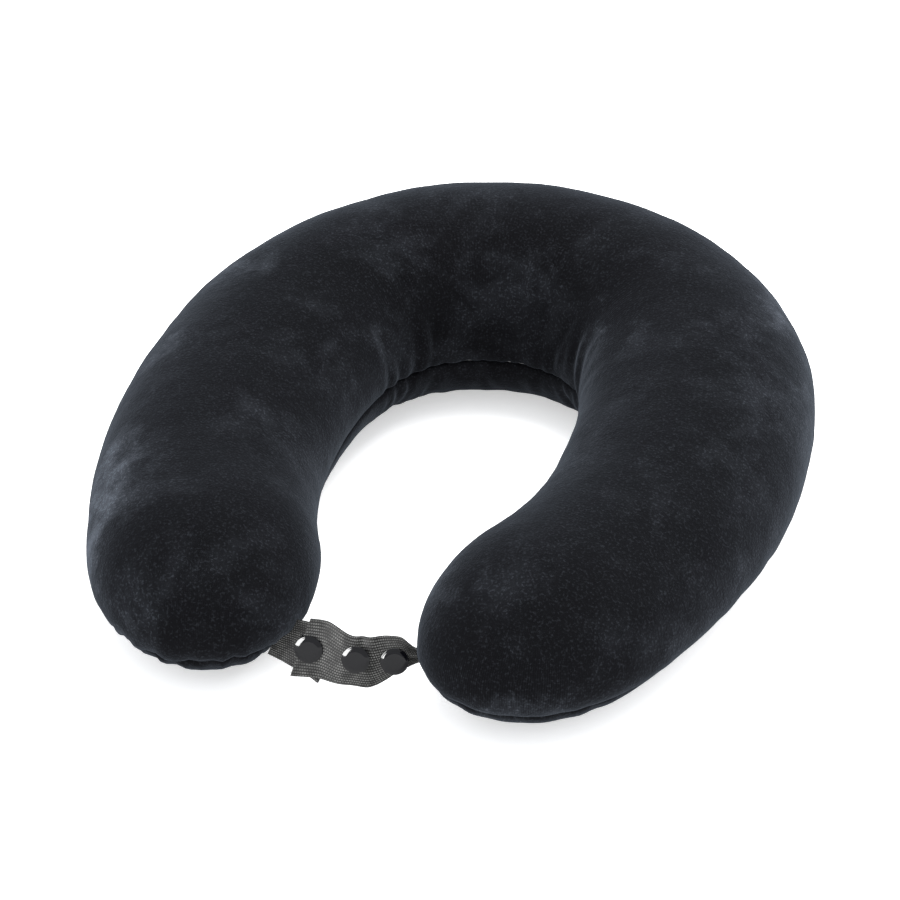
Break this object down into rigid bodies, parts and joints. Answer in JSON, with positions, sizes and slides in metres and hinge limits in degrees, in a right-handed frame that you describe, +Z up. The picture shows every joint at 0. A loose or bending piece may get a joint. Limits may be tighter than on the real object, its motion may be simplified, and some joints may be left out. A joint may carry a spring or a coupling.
{
  "type": "neck pillow",
  "caption": "U-shaped travel neck pillow: foam core in a zipped plush cover, with webbing straps that press-snap together across the mouth.",
  "frame": {"origin": "middle of the flat base's plane, under the centre of the whole pillow's outline", "axes": "+Z up from the flat base, +Y from the mouth towards the nape, +X towards the arm that carries the long strap"},
  "size_m": [0.3152, 0.3772, 0.097],
  "materials": {
    "plush": "short brushed velour pile, blue-black",
    "jersey": "thin knitted lining",
    "foam": "open-cell memory foam, moulded skin",
    "zip_tape": "woven tape",
    "nylon_coil": "smooth",
    "black_metal": "black lacquered",
    "satin": "blank satin",
    "webbing": "charcoal twill weave with pale flecks",
    "snap_plastic": "glossy black"
  },
  "bodies": {
    "pillow": {"foam_core": "foam", "inner_liner": "jersey", "cover_top_panel": "plush", "cover_base_panel": "plush", "care_label": "satin", "zip_tape_upper": "zip_tape", "zip_tape_lower": "zip_tape", "zip_coil_upper": "nylon_coil", "zip_coil_lower": "nylon_coil", "zip_top_stop": "black_metal", "zip_bottom_stop": "black_metal"},
    "zip_slider": {"zip_slider": "black_metal"},
    "zip_pull": {"zip_pull": "black_metal"},
    "socket_strap": {"socket_strap": "webbing", "snap_cap_1": "snap_plastic", "snap_cap_2": "snap_plastic", "snap_cap_3": "snap_plastic", "snap_socket_1": "snap_plastic", "snap_socket_2": "snap_plastic", "snap_socket_3": "snap_plastic"},
    "stud_strap": {"stud_strap": "webbing", "snap_stud": "snap_plastic", "snap_back_cap": "snap_plastic"}
  },
  "joints": [
    {"name": "zip_travel", "type": "hinge", "parent": "pillow", "child": "zip_slider", "pos_m": [0, 0.0342, 0.02], "axis": [0, 0, 1], "range_deg": [0, 70.7]},
    {"name": "zip_pull_swing", "type": "hinge", "parent": "zip_slider", "child": "zip_pull", "pos_m": [0.08761, 0.15762, 0.01876], "axis": [-0.2749, -0.3873, -0.88], "range_deg": [0, 165]},
    {"name": "socket_strap_swing", "type": "hinge", "parent": "pillow", "child": "socket_strap", "pos_m": [0.02428, -0.14885, 0.01257], "axis": [0.0479, 0.2196, 0.9744], "range_deg": [0, 45]},
    {"name": "stud_strap_swing", "type": "hinge", "parent": "pillow", "child": "stud_strap", "pos_m": [-0.02697, -0.15506, 0.01649], "axis": [0.0479, 0.2196, 0.9744], "range_deg": [0, 45], "stiffness_Nm_per_rad": 0.002, "springref_deg": -8.59}
  ]
}
